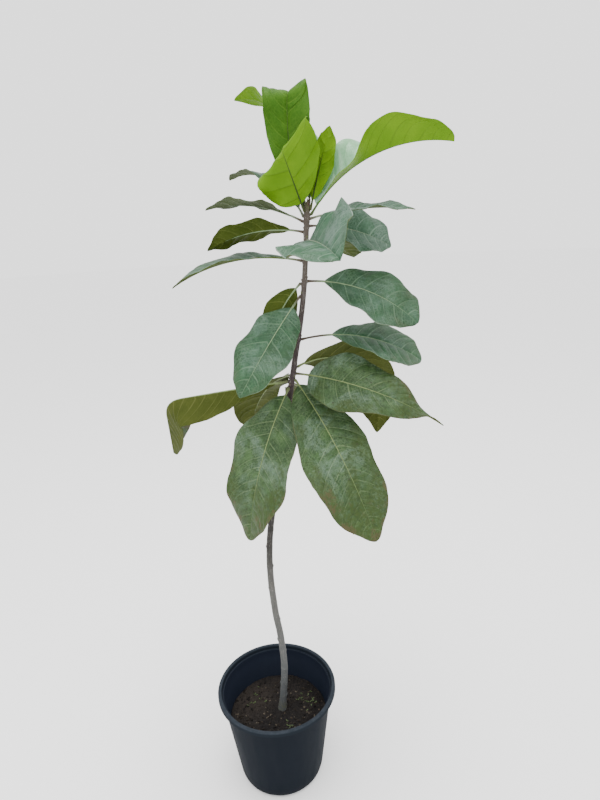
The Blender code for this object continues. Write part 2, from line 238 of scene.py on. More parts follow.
def pot_shell():
    shoulder = POT_HEIGHT - LIP_HEIGHT
    lip_inner = RIM_RADIUS - LIP_DEPTH
    inner = lip_inner - 0.8 * MM
    skirt = 1.7 * MM
    flange = 2.2 * MM
    ledge = POT_HEIGHT - 24 * MM
    recess = 1.2 * MM
    slot_near = 28 * MM
    slot_far = 50 * MM
    slot_spread = 13             # degrees to each side of a slot's middle
    slot_border = 2 * MM
    slot_brim = 0.3 * MM
    slot_slope = 0.4 * MM
    slot_depth = 1.1 * MM
    profile = (
        (0, recess),
        (slot_near, recess),
        (slot_far, recess),
        (FOOT_RADIUS - 8 * MM, recess),
        (FOOT_RADIUS - 7 * MM, 0),
        (FOOT_RADIUS - 3 * MM, 0),
        (FOOT_RADIUS, 0.8 * MM),
        (FOOT_RADIUS + 4 * MM, 5 * MM),
        (BULGE_RADIUS - 0.6 * MM, 11 * MM),
        (BULGE_RADIUS, BULGE_HEIGHT),
        (wall_radius(22 * MM), 22 * MM),
        (wall_radius(0.5 * POT_HEIGHT), 0.5 * POT_HEIGHT),
        (wall_radius(ledge), ledge),
        (SHOULDER_RADIUS, shoulder),
        (SHOULDER_RADIUS + 0.4 * MM, POT_HEIGHT - flange - 1 * MM),
        (SHOULDER_RADIUS + 1.4 * MM, POT_HEIGHT - flange),
        (RIM_RADIUS - skirt - 0.6 * MM, POT_HEIGHT - flange),
        (RIM_RADIUS - skirt, POT_HEIGHT - flange - 0.8 * MM),
        (RIM_RADIUS - skirt, shoulder + 0.4 * MM),
        (RIM_RADIUS - 0.5 * skirt, shoulder),
        (RIM_RADIUS, shoulder + 0.8 * MM),
        (RIM_RADIUS, POT_HEIGHT - 2.4 * MM),
        (RIM_RADIUS - 0.7 * MM, POT_HEIGHT - 0.9 * MM),
        (RIM_RADIUS - 2.2 * MM, POT_HEIGHT),
        (lip_inner + 1.4 * MM, POT_HEIGHT),
        (lip_inner + 0.3 * MM, POT_HEIGHT - 0.5 * MM),
        (lip_inner, POT_HEIGHT - 1.6 * MM),
        (inner, shoulder + 2.5 * MM),
        (inner - 0.6 * MM, shoulder + 1.0 * MM),
        (SHOULDER_RADIUS - WALL, shoulder + 0.2 * MM),
        (wall_radius(ledge) - WALL + 0.5 * MM, ledge + 0.6 * MM),
        (wall_radius(ledge) - WALL - 0.5 * MM, ledge - 0.6 * MM),
        (wall_radius(BULGE_HEIGHT) - WALL, BULGE_HEIGHT),
        (FOOT_RADIUS, POT_FLOOR),
        (0, POT_FLOOR),
    )
    bm = spun(profile, POT_STEPS)
    # Each drain slot is a blind recess in the floor's underside, rounded by an inset
    for k in range(DRAIN_SLOTS):
        middle = 360 * (k + 0.5) / DRAIN_SLOTS
        slot_faces = []
        for face in bm.faces:
            centre = face.calc_center_median()
            away = (math.degrees(math.atan2(centre.y, centre.x)) - middle + 180) % 360 - 180
            on_floor = abs(centre.z - recess) < TOUCH and slot_near < centre.xy.length < slot_far
            if on_floor and abs(away) < slot_spread:
                slot_faces.append(face)
        bmesh.ops.inset_region(bm, faces=slot_faces, thickness=slot_border, depth=slot_brim)
        bmesh.ops.inset_region(bm, faces=slot_faces, thickness=slot_slope, depth=-slot_depth)
    # Faces above the floor that look inwards wear the paler inside finish
    bm.normal_update()
    for face in bm.faces:
        centre = face.calc_center_median()
        if centre.xy.dot(face.normal.xy) < 0 and centre.z > POT_FLOOR:
            face.material_index = 1
    surfaces = [pot_plastic("pot_plastic", OUTSIDE_TONES), pot_plastic("pot_inside", INSIDE_TONES)]
    made("pot_shell", bm, surfaces, ["pot"], sharp=34)


pot_shell()

# Potting soil: a dark, crumbly mix of peat and bark that has sunk well under the rim. It is
# heaped a little at the stem, and crumbs, pale chips and a few weeds lie on it.
GAP = 0.3 * MM
SOIL_TOP = 117 * MM
SOIL_EDGE_DROP = 5 * MM
SOIL_CROWN = 2.2             # a higher power keeps more of the top level
SOIL_STEPS = 220
SOIL_RINGS = 72
RING_SPACING = 0.9           # below 1 the rings lie closer by the wall
HEAPS = 2.4 * MM
CLODS = 1.7 * MM
LUMPS = 2.0 * MM
GRIT = 0.5 * MM
SETTLED = 0.8 * MM
SOIL_TONES = ((0.0038, 0.0033, 0.0036), (0.0125, 0.0104, 0.0092))
DRY_TONE = (0.0230, 0.0180, 0.0145)
DRY_PLACE = (-48 * MM, 28 * MM, SOIL_TOP)
DAMP_TONE = (0.0034, 0.0031, 0.0037)
DAMP_PLACE = (6 * MM, -34 * MM, SOIL_TOP)
GRAIN_TONE = (0.036, 0.029, 0.024)
FIBRE_TONE = (0.064, 0.050, 0.038)
STEM_CLEAR = 9 * MM          # loose bits lie this far off the stem's middle
WALL_CLEAR = 4 * MM
CRUMBS = 620
CHIPS = 150
SMALL_LUMP = 1.6 * MM        # smaller lumps have fewer faces
WEEDS = 40
WEED_CLUMPS = ((52 * MM, 8 * MM), (44 * MM, 22 * MM), (4 * MM, -58 * MM), (26 * MM, -46 * MM),
               (-40 * MM, 26 * MM))
WEED_SPREAD = 9 * MM
WEED_THICK = 0.25 * MM
WEED_TONES = ((0.024, 0.046, 0.010), (0.070, 0.100, 0.030))
random.seed(11)


def soil_height(x, y):
    """Height of the soil's crumbled top over a point, in metres."""
    reach = math.hypot(x, y) / (wall_radius(SOIL_TOP) - WALL)
    top = SOIL_TOP - SOIL_EDGE_DROP * min(1.0, reach) ** SOIL_CROWN
    place = Vector((x, y, 0.0))
    top += HEAPS * noise.noise(place * 38)
    top += CLODS * noise.noise(place * 110 + Vector((5, 0, 0)))
    top += LUMPS * abs(noise.noise(place * 260))
    top += GRIT * noise.noise(place * 620)
    return top - SETTLED


def soil_surface():
    paint = Finish("potting_soil", roughness=0.95, specular=0.25)
    base = paint.blend(paint.step(paint.cloud(26, 4), 0.38, 0.66), *SOIL_TONES)
    dry = paint.step(paint.distance(DRY_PLACE), 20 * MM, 52 * MM, 0.8, 0.0)
    base = paint.blend(dry, base, DRY_TONE)
    damp = paint.step(paint.distance(DAMP_PLACE), 14 * MM, 56 * MM, 0.85, 0.0)
    base = paint.blend(damp, base, DAMP_TONE)
    grains = paint.step(paint.cloud(520, 6, 0.75), 0.40, 0.68)
    base = paint.blend(paint.times(grains, 0.50), base, GRAIN_TONE)
    fibres = paint.step(paint.cells(210), 0.05, 0.22, 0.35, 0.0)
    base = paint.blend(fibres, base, FIBRE_TONE)
    relief = paint.bump(paint.cloud(700, 8, 0.8), 0.9 * MM, 0.9)
    return paint.finish(base, None, paint.bump(paint.cells(300), 0.8 * MM, 0.5, relief))


def soil_bed():
    edge = wall_radius(SOIL_TOP - SOIL_EDGE_DROP) - WALL - 2 * GAP
    foot = wall_radius(BULGE_HEIGHT) - WALL - 2 * GAP
    profile = [(0, POT_FLOOR + GAP), (FOOT_RADIUS - 1 * MM, POT_FLOOR + GAP),
               (foot, BULGE_HEIGHT + 1 * MM), (edge, SOIL_TOP - SOIL_EDGE_DROP - 2 * MM)]
    profile += [(edge * (1 - k / SOIL_RINGS) ** RING_SPACING, SOIL_TOP)
                for k in range(1, SOIL_RINGS + 1)]
    bm = spun(profile, SOIL_STEPS)
    for vert in bm.verts:
        if vert.co.z > SOIL_TOP - TOUCH:
            vert.co.z = soil_height(vert.co.x, vert.co.y)
    made("soil_bed", bm, [soil_surface()], ["soil"], sharp=180)


def scatter(count):
    """Seeded places on the soil's top, spread evenly over it but off the stem's foot."""
    outer = wall_radius(SOIL_TOP) - WALL - WALL_CLEAR
    for _ in range(count):
        radius = math.sqrt(random.uniform(STEM_CLEAR ** 2, outer ** 2))
        turn = random.uniform(0, 2 * math.pi)
        x = radius * math.cos(turn)
        y = radius * math.sin(turn)
        yield Vector((x, y, soil_height(x, y)))


def strewn(name, count, size, flat, tones, grain):
    """Joined small lumps on the soil. Each is an uneven ball, flattened and turned at random."""
    bm = bmesh.new()
    for place in scatter(count):
        long = random.uniform(*size)
        seed = Vector((len(bm.verts) * 0.37, 0, 0))
        fineness = 1 if long < SMALL_LUMP else 2
        lump = bmesh.ops.create_icosphere(bm, subdivisions=fineness, radius=long)["verts"]
        spin = Matrix.Rotation(random.uniform(0, 2 * math.pi), 4, "Z")
        lean = Matrix.Rotation(random.gauss(0, 0.35), 4, "X")
        shape = Matrix.Diagonal((1, random.uniform(0.55, 0.9), random.uniform(*flat), 1))
        for vert in lump:
            vert.co *= 1 + 0.35 * noise.noise(vert.co / long * 1.3 + seed)
        bmesh.ops.transform(bm, matrix=Matrix.Translation(place) @ spin @ lean @ shape, verts=lump)
    paint = Finish(name, roughness=0.92, specular=0.2)
    base = paint.blend(paint.step(paint.cloud(grain, 2), 0.36, 0.64), *tones)
    surface = paint.finish(base, None, paint.bump(paint.cloud(900, 5), 0.4 * MM, 0.8))
    made(name, bm, [surface], sharp=180)


def weeds():
    """Seedlings: pairs of tiny green seed leaves, most of them in clumps by the pot's wall."""
    bm = bmesh.new()
    for k in range(WEEDS):
        clump_x, clump_y = WEED_CLUMPS[k % len(WEED_CLUMPS)]
        x = random.gauss(clump_x, WEED_SPREAD)
        y = random.gauss(clump_y, WEED_SPREAD)
        place = Vector((x, y, soil_height(x, y)))
        heading = random.uniform(0, 2 * math.pi)
        for side in (0, math.pi):
            leaf = bmesh.ops.create_grid(bm, x_segments=4, y_segments=2, size=1)["verts"]
            long = random.uniform(1.8, 3.6) * MM
            for vert in leaf:
                share = (vert.co.x + 1) / 2
                half = 0.42 * math.sin(math.pi * min(0.97, share + 0.06)) * long
                lift = 0.55 * long * math.sin(1.6 * share) + 0.2 * half * vert.co.y ** 2
                vert.co = Vector((share * long, vert.co.y * half, lift))
            turn = Matrix.Rotation(heading + side, 4, "Z")
            bmesh.ops.transform(bm, matrix=Matrix.Translation(place) @ turn, verts=leaf)
    bm.normal_update()
    bmesh.ops.solidify(bm, geom=bm.faces[:], thickness=WEED_THICK)
    paint = Finish("weed_green", roughness=0.6)
    surface = paint.finish(paint.blend(paint.cloud(60, 2), *WEED_TONES))
    made("weeds", bm, [surface], sharp=60)


soil_bed()
strewn("crumbs", CRUMBS, size=(0.7 * MM, 2.6 * MM), flat=(0.5, 0.9), grain=55,
       tones=((0.0065, 0.0052, 0.0047), (0.025, 0.020, 0.016)))
strewn("bark_chips", CHIPS, size=(0.9 * MM, 2.4 * MM), flat=(0.22, 0.5), grain=80,
       tones=((0.030, 0.021, 0.015), (0.095, 0.079, 0.059)))
weeds()

# Stem: one woody stem with a flare where it enters the soil. Old leaf scars ring it at every
# node, it is grey and corky at the foot and brown and smoother towards the closed tip.
STEM_PATH = (                # height above the pot's underside, x, y, in millimetres
    (117, 7, 2),
    (200, 15, 2),
    (262, 13, 2),
    (315, 7, 2),
    (385, 3.5, 2),
    (442, 6, 2),
    (497, 14, 1),
    (560, 27, 0),
    (724, 59, 0),
    (822, 77, 0),
    (944, 88, 0),
)
STEM_FOOT = 117 * MM
STEM_TOP = 944 * MM
STEM_FOOT_RADIUS = 5.8 * MM
STEM_TIP_RADIUS = 3.4 * MM
STEM_FLARE = 2.2 * MM
STEM_FLARE_HEIGHT = 11 * MM
STEM_BUD = 8 * MM             # length over which the tip closes
STEM_SUNK = 3 * MM
BARK_SIDES = 40
BARK_ROWS = 640
OLD_SCARS = (146, 171, 203, 238, 262, 301, 334, 362, 401, 437, 466, 502, 541, 572, 603, 634, 662)
LEAF_TURN = 137.5            # degrees round the stem from one leaf, or scar, to the next
CORK_RELIEF = 0.30 * MM
FISSURE = 0.34 * MM
FISSURE_WIDTH = 0.10
BARK_GRAIN = 0.16 * MM
SCAR_RING = 0.42 * MM
SCAR_GROOVE = 0.30 * MM
SCAR_CUSHION = 0.9 * MM
NODE_SWELL = 1.3 * MM
BARK_FOOT = (0.074, 0.080, 0.082)
BARK_BANDS = (               # heights where a colour starts and is full, in metres, and the colour
    (0.13, 0.36, (0.080, 0.078, 0.072)),
    (0.34, 0.46, (0.023, 0.021, 0.019)),
    (0.46, 0.62, (0.038, 0.027, 0.027)),
    (0.76, 0.88, (0.060, 0.048, 0.038)),
    (0.925, 0.944, (0.070, 0.084, 0.026)),
)
PALE_CORK = (0.145, 0.140, 0.130)
DARK_CORK = (0.015, 0.012, 0.012)
PORE_TONE = (0.180, 0.170, 0.150)
MOSS_TONE = (0.095, 0.100, 0.064)
BUD_ABOVE = 4.5 * MM         # a bud stands this far above its leaf's stalk
AXIL_BUD = (1.5 * MM, 2.6 * MM, 28)      # half width, half length and lean
TIP_SCALE = (1.3 * MM, 5.5 * MM, 14)
TIP_SCALES = 6
BUD_TONES = ((0.055, 0.062, 0.020), (0.070, 0.040, 0.026))


def stem_point(height):
    """Centre of the stem at a height, on a smooth curve through the path's points."""
    path = [(z * MM, x * MM, y * MM) for z, x, y in STEM_PATH]
    height = min(max(height, path[0][0]), path[-1][0])
    k = next(i for i in range(len(path) - 1) if height <= path[i + 1][0] + 1e-9)
    before = path[max(k - 1, 0)]
    start = path[k]
    end = path[k + 1]
    after = path[min(k + 2, len(path) - 1)]
    span = end[0] - start[0]
    u = (height - start[0]) / span
    place = []
    for axis in (1, 2):
        slope_in = (end[axis] - before[axis]) / (end[0] - before[0]) * span
        slope_out = (after[axis] - start[axis]) / (after[0] - start[0]) * span
        place.append((2 * u ** 3 - 3 * u ** 2 + 1) * start[axis]
                     + (u ** 3 - 2 * u ** 2 + u) * slope_in
                     + (3 * u ** 2 - 2 * u ** 3) * end[axis] + (u ** 3 - u ** 2) * slope_out)
    return Vector((place[0], place[1], height))


def stem_radius(height):
    """Even taper from foot to tip, with a flare at the soil."""
    share = (height - STEM_FOOT) / (STEM_TOP - STEM_FOOT)
    taper = STEM_FOOT_RADIUS + (STEM_TIP_RADIUS - STEM_FOOT_RADIUS) * share
    return taper + STEM_FLARE * math.exp(-(height - STEM_FOOT) / STEM_FLARE_HEIGHT)


class Leaf(NamedTuple):
    """Sizes in millimetres, angles in degrees, places as shares of a length."""
    name: str
    look: str               # which of the finishes it wears
    height: float           # where the stalk leaves the stem
    bearing: float          # direction seen from above, anticlockwise from +X
    rise: float             # slope of the stalk where it starts
    droop: float            # how far that slope falls by the tip
    length: float           # of the blade
    width: float
    stalk: float = 16
    bend: float = 1.0       # above 1 the droop comes late, below 1 early
    sweep: float = 0        # how far the bearing turns by the tip
    roll: float = 0         # turn of the blade about its midrib
    twist: float = 0        # more roll, gained along the blade
    twist_at: float = 0.5
    twist_span: float = 0.3
    nod: float = 0          # curl about the blade's own width, gained along it
    nod_at: float = 0.6
    nod_span: float = 0.3
    skew: float = 0         # slant of the lines that the blade bends about
    slant: float = 0        # slides one half of the outline towards the tip, the other back
    lop: float = 0          # how much wider one half is than the other
    fold: float = 14        # lift of each half from the midrib
    peak: float = 0.55      # where the blade is widest
    base: float = 0.9       # below 1 is a fuller base
    end: float = 0.72       # below 1 is a blunter tip
    wave: float = 0.05      # margin wave, as a share of the width
    phase: float = 0.0


LEAVES = (
    # The lowest whorl hangs round the stem
    Leaf("leaf_01", "old", 694, -121, -35, 48, 216, 106, stalk=12, bend=0.6, sweep=-28, roll=-12,
         fold=10, peak=0.52, end=0.62, phase=0.6),
    Leaf("leaf_02", "old", 698, 74, -20, 40, 205, 88, stalk=14, phase=2.0),
    Leaf("leaf_03", "old", 702, 172, -8, 2, 268, 96, roll=160, nod=-76, nod_at=0.63, nod_span=0.2,
         fold=45, peak=0.68, end=0.5, wave=0.02),
    Leaf("leaf_04", "old", 706, -50, -38, 28, 240, 102, stalk=10, bend=0.8, sweep=4, roll=20,
         lop=0.13, fold=10, peak=0.54, base=0.75, end=0.58, phase=1.4),
    Leaf("leaf_05", "old", 710, 120, -15, 50, 190, 84, stalk=14, phase=3.3),
    Leaf("leaf_06", "old", 714, -30, 0, 36, 200, 90, stalk=20, sweep=26, roll=40, twist=-70,
         twist_at=0.88, fold=8, peak=0.28, base=0.8, end=1.3, phase=4.0),
    Leaf("leaf_07", "old", 722, 30, 19, 124, 236, 86, stalk=12, sweep=12, roll=-50, fold=12,
         peak=0.5, base=0.6, phase=0.9),
    # Single leaves up the middle of the stem
    Leaf("leaf_08", "mature", 762, -2, 12, 50, 134, 78, stalk=42, roll=26, fold=8, peak=0.62,
         end=0.5, wave=0.02),
    Leaf("leaf_09", "mature", 822, -141, -42, 10, 142, 84, stalk=20, roll=-20, fold=8, peak=0.48,
         base=0.6, end=0.75, phase=2.6),
    Leaf("leaf_10", "mature", 838, 168, -44, 30, 80, 46, stalk=8, roll=75),
    Leaf("leaf_11", "mature", 841, -6, 0, 46, 142, 80, stalk=22, roll=46, fold=8, peak=0.60,
         end=0.55, phase=5.0),
    Leaf("leaf_12", "mature", 868, 178, 14, 46, 165, 54, stalk=20, roll=-6, fold=16, wave=0.02),
    # The close whorl under the tip
    Leaf("leaf_13", "mature", 886, 58, 5, 30, 130, 66, stalk=14, phase=1.0),
    Leaf("leaf_14", "dusty", 894, -76, 2, 20, 124, 114, stalk=12, roll=34, fold=32, peak=0.5,
         base=0.7, wave=0.055),
    Leaf("leaf_15", "mature", 905, 182, 13, 42, 115, 48, roll=35, phase=2.2),
    Leaf("leaf_16", "dusty", 912, 12, 0, 32, 104, 70, roll=50, phase=0.4),
    Leaf("leaf_17", "dusty", 918, 172, 30, 42, 118, 50, roll=10, phase=3.0),
    Leaf("leaf_18", "dusty", 921, -15, 14, 24, 122, 48, stalk=14, roll=10, phase=1.7),
    Leaf("leaf_19", "dusty", 924, 138, 60, 76, 146, 56, stalk=12, phase=4.4),
    # The young leaves that stand round the tip
    Leaf("leaf_20", "young", 929, 110, 68, 76, 212, 66, stalk=14, bend=2.6, sweep=58, roll=25),
    Leaf("leaf_21", "fresh", 926, -6, 57, 68, 194, 78, stalk=14, roll=40, twist=-64, twist_at=0.42,
         twist_span=0.25, fold=45, end=0.48, phase=2.0),
    Leaf("leaf_22", "young", 931, -130, 62, 0, 106, 94, stalk=10, roll=20, nod=-155, nod_at=0.68,
         nod_span=0.22, skew=-34, slant=20, fold=4, peak=0.54, base=1.1, end=0.5, wave=0.02,
         phase=1.1),
    Leaf("leaf_23", "young", 933, -38, 72, 4, 90, 34, stalk=10, roll=-80),
    Leaf("leaf_24", "fresh", 934, 60, 84, 10, 84, 38, stalk=12, phase=0.8),
    Leaf("leaf_25", "young", 935, 155, 72, -30, 158, 64, stalk=12, roll=-66, nod=140, nod_at=0.82,
         nod_span=0.16, skew=18, fold=26, peak=0.66, end=0.5, phase=2.4),
)


def bark_relief(height, turn):
    """How far the bark stands out from the plain stem, in metres."""
    above = (height - STEM_FOOT) / (STEM_TOP - STEM_FOOT)
    ring = Vector((math.cos(turn), math.sin(turn), 0))
    cork = 1 - 0.65 * above
    stand = CORK_RELIEF * cork * noise.noise(ring * 2.2 + Vector((0, 0, height * 40)))
    fissure = abs(noise.noise(ring * 5.5 + Vector((0, 0, height * 90))))
    stand -= FISSURE * cork * max(0.0, 1 - fissure / FISSURE_WIDTH)
    stand += BARK_GRAIN * noise.noise(ring * 7 + Vector((3, 0, height * 420)))
    for k, scar in enumerate(OLD_SCARS):
        from_scar = height - scar * MM
        if abs(from_scar) < 12 * MM:
            facing = math.cos(turn - math.radians(LEAF_TURN * k))
            stand += SCAR_RING * math.exp(-(from_scar / (3.2 * MM)) ** 2) * (0.7 + 0.5 * facing)
            stand -= SCAR_GROOVE * math.exp(-((from_scar - 1.4 * MM) / (0.7 * MM)) ** 2)
            cushion = SCAR_CUSHION * max(0.0, facing) ** 3
            stand += cushion * math.exp(-((from_scar + 0.8 * MM) / (2.2 * MM)) ** 2)
    for leaf in LEAVES:
        from_node = height - leaf.height * MM
        if abs(from_node) < 9 * MM:
            facing = max(0.0, math.cos(turn - math.radians(leaf.bearing))) ** 2
            stand += NODE_SWELL * facing * math.exp(-((from_node + 0.6 * MM) / (2.6 * MM)) ** 2)
    return stand


def bark_surface():
    """Grey and corky low down, then brown, then dark purple-brown, then green at the tip."""
    paint = Finish("bark", roughness=0.82, specular=0.3)
    height = paint.height()
    base = BARK_FOOT
    for start, full, tone in BARK_BANDS:
        base = paint.blend(paint.step(height, start, full), base, tone)
    streaks = paint.cloud(1, 6, 0.7, paint.stretched((420, 420, 60)))
    base = paint.blend(paint.step(streaks, 0.52, 0.75, 0.0, 0.75), base, PALE_CORK)
    base = paint.blend(paint.step(streaks, 0.46, 0.28, 0.0, 0.75), base, DARK_CORK)
    pores = paint.cells(1, place=paint.stretched((330, 330, 210)))
    pores = paint.step(pores, 0.10, 0.26, 0.70, 0.0)
    base = paint.blend(pores, base, PORE_TONE)
    foot = paint.step(height, 0.121, 0.140, 0.75, 0.0)
    moss = paint.step(paint.cloud(190, 4), 0.42, 0.60)
    base = paint.blend(paint.times(foot, moss), base, MOSS_TONE)
    relief = paint.bump(streaks, 0.5 * MM, 0.8)
    return paint.finish(base, None, paint.bump(pores, 0.3 * MM, 0.6, relief))


def wrapped_grid(bm, around, along):
    """Grid for a closed tube: its vertices with the turn and the share along of each."""
    verts = bmesh.ops.create_grid(bm, x_segments=around, y_segments=along, size=1)["verts"]
    return [(vert, math.pi * (vert.co.x + 1), (vert.co.y + 1) / 2) for vert in verts]


def closed_tube(bm, verts):
    """Welds a wrapped grid's seam and its pinched ends, and turns its faces outwards."""
    faces = {face for vert in verts for face in vert.link_faces}
    bmesh.ops.remove_doubles(bm, verts=verts, dist=0.002 * MM)
    bmesh.ops.recalc_face_normals(bm, faces=[face for face in faces if face.is_valid])


def trunk_bark():
    bm = bmesh.new()
    grid = wrapped_grid(bm, BARK_SIDES, BARK_ROWS)
    for vert, turn, share in grid:
        height = STEM_FOOT - STEM_SUNK + (STEM_TOP - STEM_FOOT + STEM_SUNK) * share
        inside = max(height, STEM_FOOT + GAP)
        radius = stem_radius(inside) + bark_relief(inside, turn)
        from_tip = (STEM_TOP - height) / STEM_BUD
        if from_tip < 1:
            radius *= math.sqrt(max(0.0, from_tip)) * (0.7 + 0.3 * from_tip)
        if share == 0:
            radius = 0
        centre = stem_point(inside)
        vert.co = (centre.x + radius * math.cos(turn), centre.y + radius * math.sin(turn), height)
    closed_tube(bm, [vert for vert, _, _ in grid])
    made("trunk_bark", bm, [bark_surface()], ["trunk"], sharp=180)


def axil_buds():
    """Small pointed buds, one in the axil of each leaf, and scales round the growing tip."""
    bm = bmesh.new()
    places = [(leaf.height * MM + BUD_ABOVE, leaf.bearing, *AXIL_BUD) for leaf in LEAVES]
    places += [(STEM_TOP - (3.5 - 0.6 * k) * MM, LEAF_TURN * k, *TIP_SCALE)
               for k in range(TIP_SCALES)]
    for height, bearing, girth, long, lean in places:
        bud = bmesh.ops.create_uvsphere(bm, u_segments=10, v_segments=8, radius=1)["verts"]
        for vert in bud:
            wide = girth * (1 - 0.55 * max(0.0, vert.co.z))
            vert.co = Vector((vert.co.x * wide * 0.75, vert.co.y * wide, vert.co.z * long))
        turn = math.radians(bearing)
        out = Vector((math.cos(turn), math.sin(turn), 0))
        place = stem_point(height) + out * (stem_radius(min(height, STEM_TOP)) * 0.95)
        place.z = height
        pose = (Matrix.Translation(place) @ Matrix.Rotation(turn, 4, "Z")
                @ Matrix.Rotation(math.radians(lean), 4, "Y"))
        bmesh.ops.transform(bm, matrix=pose, verts=bud)
    paint = Finish("bud_scales", roughness=0.6)
    base = paint.blend(paint.step(paint.cloud(240, 3), 0.40, 0.62), *BUD_TONES)
    made("axil_buds", bm, [paint.finish(base)], sharp=180)


trunk_bark()
axil_buds()

# Leaves: leathery simple leaves, each a blade on a short stalk. The stalk swells where it joins
# the stem and runs on as the midrib, and side veins arch from the midrib to the margin.
BLADE_THICK = 0.75 * MM
LEAST_HALF = 0.35 * MM       # half width that a blade keeps at both ends
CURL = 0.10                  # how far the margins fall back from the fold
MARGIN_WAVES = 2.6
HALF_OFFSET = 1.9            # the two halves wave out of step
MARGIN_LUMPS = 0.035         # unevenness of the margin, as shares of the half width
MARGIN_NICKS = 0.014
TIP_DRAWN_IN = 0.22
SWAY = 1.6 * MM
RUFFLE = 1.3 * MM
VEIN_PITCH = 17 * MM
FEWEST_PITCHES = 6
ROWS_PER_VEIN = 10
VEIN_LEAD = 0.5              # how far side veins run to the tip, for a blade as wide as long
MOST_LEAD = 0.22
VEIN_JITTER = 0.55           # in pitches
VEIN_HALF = 0.075            # half width of a vein's dip, in pitches
VEIN_DIP = 0.34 * MM
QUILT = 0.75 * MM            # swell of the blade between its veins
RIB_DIP = 0.5 * MM
RIB_DIP_HALF = 3.2 * MM
CELL_ACROSS = 2.2 * MM
FEWEST_CELLS = 7
RIB_STEPS = 160
STALK_ROOM = 1.9 * MM        # space for the stalk's foot beside the stem
STALK_GIRTH = 1.55 * MM
STALK_SWELL = 0.75 * MM
SWELL_REACH = 4.5 * MM
STALK_SIDES = 12
STALK_ROWS = 90
ROOT_IN = 2.2 * MM           # how far the stalk's foot runs into the stem
ROOT_REACH = 6 * MM
RIB_GIRTH = 1.45 * MM
RIB_TAPER = 1.05 * MM
RIB_END = 0.97
RIB_SUNK = 0.30
RIB_DROP = 0.15 * MM
LONG_BLADE = 200             # in millimetres; its stalk has the full girth
UNDERSIDE = 1                # a leaf wears three finishes: upper face, underside and rib
RIB = 2
YOUNG_LOOKS = ("young", "fresh")
FILM_TONE = (0.200, 0.280, 0.200)
OLIVE_TONE = (0.025, 0.044, 0.0045)
SPECKLE_TONE = (0.011, 0.027, 0.004)
RUST_TONE = (0.058, 0.044, 0.017)
SPOT_TONE = (0.020, 0.014, 0.008)


def smooth_step(value):
    value = min(max(value, 0.0), 1.0)
    return value * value * (3 - 2 * value)


def half_width_share(s, leaf):
    """Half width of the blade at the share s of its length, 1 at the widest place."""
    total = leaf.base + leaf.end
    power = math.log(leaf.base / total) / math.log(leaf.peak)
    q = min(max(s, 0.0), 1.0) ** power
    highest = (leaf.base / total) ** leaf.base * (leaf.end / total) ** leaf.end
    return q ** leaf.base * (1 - q) ** leaf.end / highest


def gained(share, middle, span):
    """Share of a bend or twist that is reached by a share of the blade's length."""
    return smooth_step((share - middle) / span + 0.5)


class Midrib:
    """The line of a leaf's stalk and midrib, with the directions of its blade all along it."""

    def __init__(self, leaf):
        start = math.radians(leaf.bearing)
        rise = math.radians(leaf.rise)
        skew = math.radians(leaf.skew)
        height = leaf.height * MM
        reach = stem_radius(height) + 2 * GAP + STALK_ROOM * abs(math.sin(rise))
        place = stem_point(height) + Vector((math.cos(start), math.sin(start), 0)) * reach
        self.total = (leaf.stalk + leaf.length) * MM
        stalk_share = leaf.stalk / (leaf.stalk + leaf.length)
        self.frames = []
        for i in range(RIB_STEPS + 1):
            share = i / RIB_STEPS
            s = (share - stalk_share) / (1 - stalk_share)      # below 0 on the stalk
            bent = share ** leaf.bend
            slope = rise - math.radians(leaf.droop) * bent
            bearing = start + math.radians(leaf.sweep) * bent
            level = math.cos(slope)
            along = Vector((level * math.cos(bearing), level * math.sin(bearing), math.sin(slope)))
            side = Vector((-math.sin(bearing), math.cos(bearing), 0))
            face = along.cross(side)
            turn = math.radians(leaf.roll * smooth_step(share / stalk_share)
                                + leaf.twist * gained(s, leaf.twist_at, leaf.twist_span))
            across = side * math.cos(turn) + face * math.sin(turn)
            up = face * math.cos(turn) - side * math.sin(turn)
            nod = math.radians(leaf.nod * gained(s, leaf.nod_at, leaf.nod_span))
            bent_over = Matrix.Rotation(nod, 3, across * math.cos(skew) - along * math.sin(skew))
            turned = [bent_over @ direction for direction in (across, up, along)]
            self.frames.append((place.copy(), *turned))
            place += turned[2] * self.total / RIB_STEPS

    def at(self, run):
        """Place, across, up and forward at a distance along stalk and blade, in metres."""
        step = min(max(run / self.total, 0.0), 1.0) * RIB_STEPS
        k = min(int(step), RIB_STEPS - 1)
        return [low.lerp(high, step - k) for low, high in zip(self.frames[k], self.frames[k + 1])]


def vein_rows(row, half):
    """Where a row of cells falls, in vein pitches, and how far it is from the nearest vein.

    Rows crowd together at each side vein, so that the vein shows as a fine crease.
    """
    offset = ROWS_PER_VEIN // 2 if half < 0 else 0
    nearest = round((row + offset) / ROWS_PER_VEIN)
    away = row + offset - nearest * ROWS_PER_VEIN
    share = abs(away) / (ROWS_PER_VEIN / 2)
    crowded = math.copysign(0.5 * share ** 1.7, away)
    return nearest + crowded - offset / ROWS_PER_VEIN, abs(crowded)


